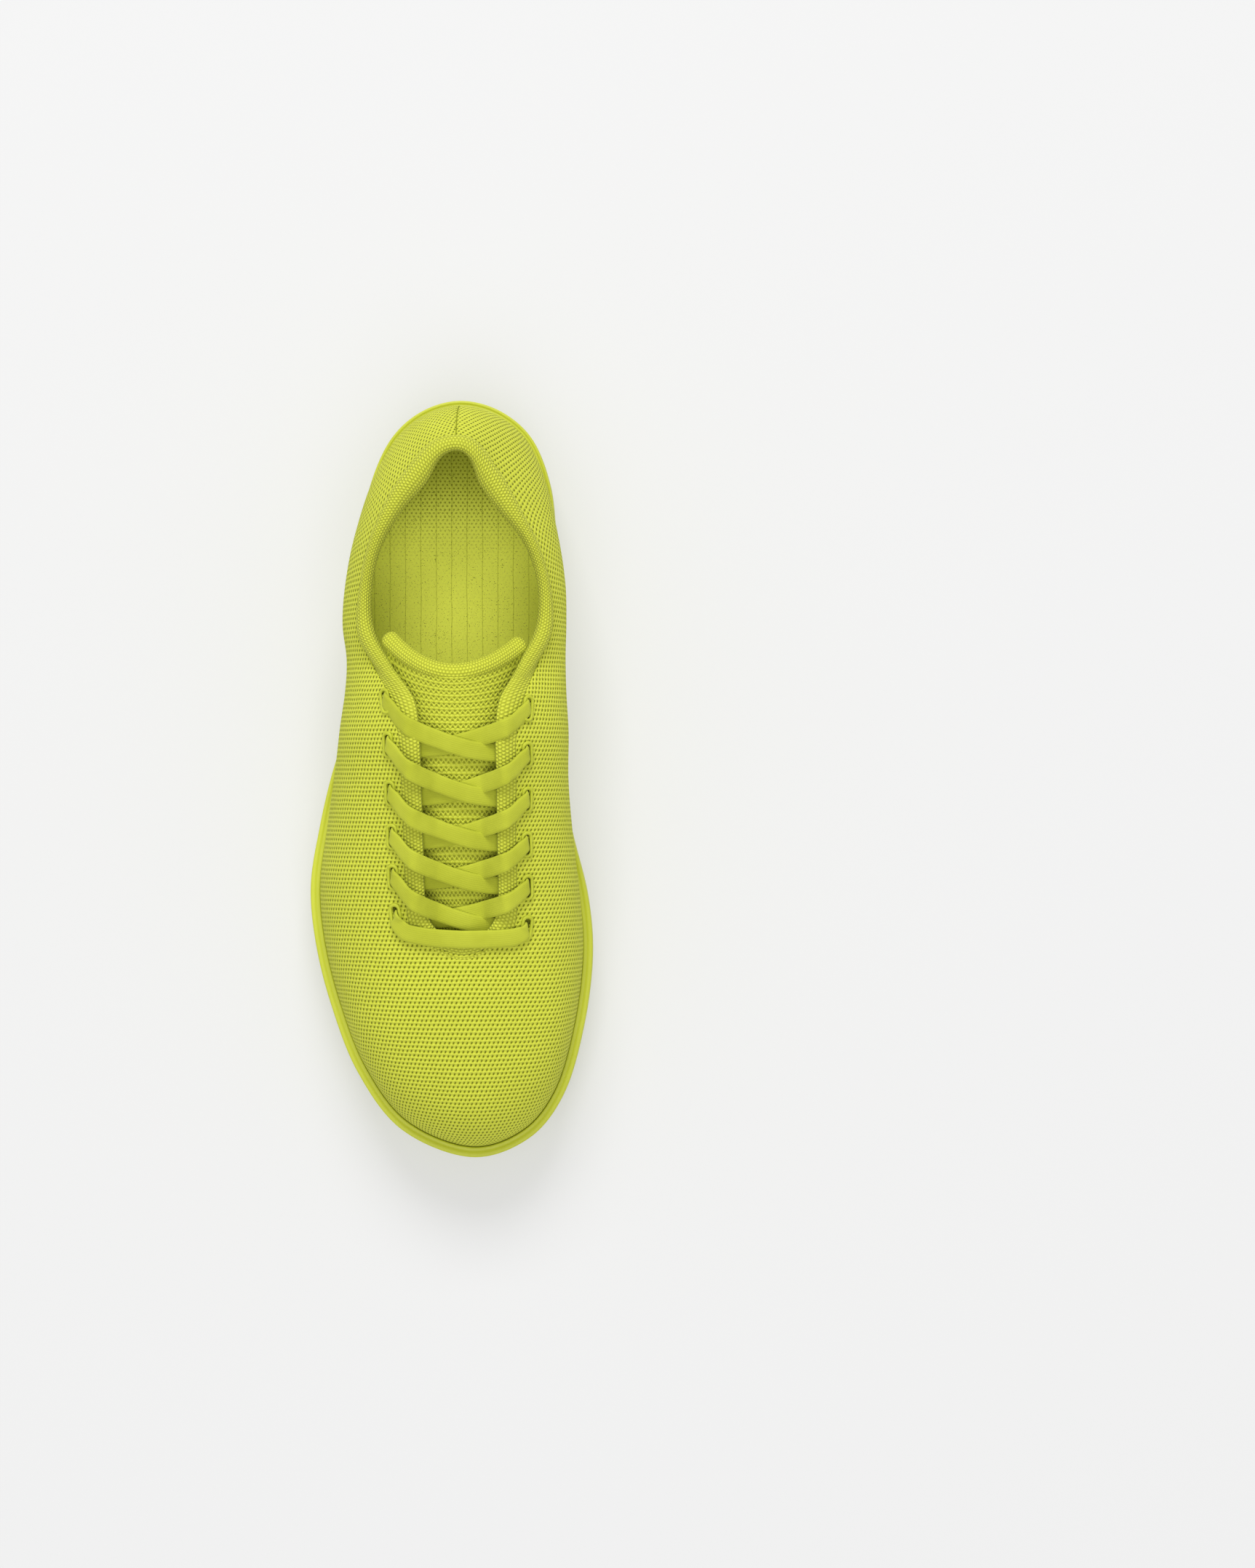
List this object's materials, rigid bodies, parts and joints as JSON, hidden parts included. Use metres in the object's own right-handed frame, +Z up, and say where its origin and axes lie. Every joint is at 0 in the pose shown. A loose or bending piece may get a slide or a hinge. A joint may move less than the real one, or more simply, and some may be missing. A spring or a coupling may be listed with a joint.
{
  "type": "running shoe",
  "caption": "Low-cut knitted running shoe for the right foot: foam sole, loose insole, padded collar and tongue, and one flat lace criss-crossed through moulded eyelets.",
  "frame": {"origin": "on the ground under the middle of the shoe's overall length and width", "axes": "+Z up, toe towards -Y, heel towards +Y, inner (big-toe) side towards +X"},
  "size_m": [0.1084, 0.2901, 0.0876],
  "materials": {
    "outsole_rubber": "matt moulded",
    "midsole_foam": "satin moulded foam",
    "board": "plain woven",
    "insole_foam": "matt foam",
    "insole_cloth": "fine striped cloth",
    "stiffener": "matt sheet",
    "knit": "pebbled knit",
    "lining": "smooth knit",
    "padding": "open foam",
    "collar_knit": "smooth brushed knit",
    "eyelet_plastic": "satin moulded",
    "lace_cord": "flat woven elastic",
    "tip_plastic": "clear tinted film"
  },
  "bodies": {
    "shoe": {"outsole": "outsole_rubber", "midsole": "midsole_foam", "strobel_board": "board", "heel_counter": "stiffener", "toe_puff": "stiffener", "knit_upper": "knit", "vamp_lining": "lining", "collar_foam": "padding", "collar_lining": "collar_knit", "collar_roll": "collar_knit", "back_seam_tape": "lining", "eyestay_medial": "stiffener", "eyestay_lateral": "stiffener", "facing_edge_medial": "knit", "facing_edge_lateral": "knit", "eyelets_medial": "eyelet_plastic", "eyelets_lateral": "eyelet_plastic", "throat_bar": "knit", "lace": "lace_cord", "aglet_medial": "tip_plastic", "aglet_lateral": "tip_plastic"},
    "tongue": {"tongue_face": "knit", "tongue_foam": "padding", "tongue_lining": "lining", "tongue_top_roll": "collar_knit"},
    "insole": {"insole_foam": "insole_foam", "insole_cover": "insole_cloth"}
  },
  "joints": [
    {"name": "tongue_press", "type": "hinge", "parent": "shoe", "child": "tongue", "pos_m": [0.004, -0.064, 0.0565], "axis": [1, 0, 0], "range_deg": [-10, 0], "stiffness_Nm_per_rad": 2},
    {"name": "insole_lift", "type": "hinge", "parent": "shoe", "child": "insole", "pos_m": [0.007, -0.133, 0.0255], "axis": [1, 0, 0], "range_deg": [0, 2]}
  ]
}
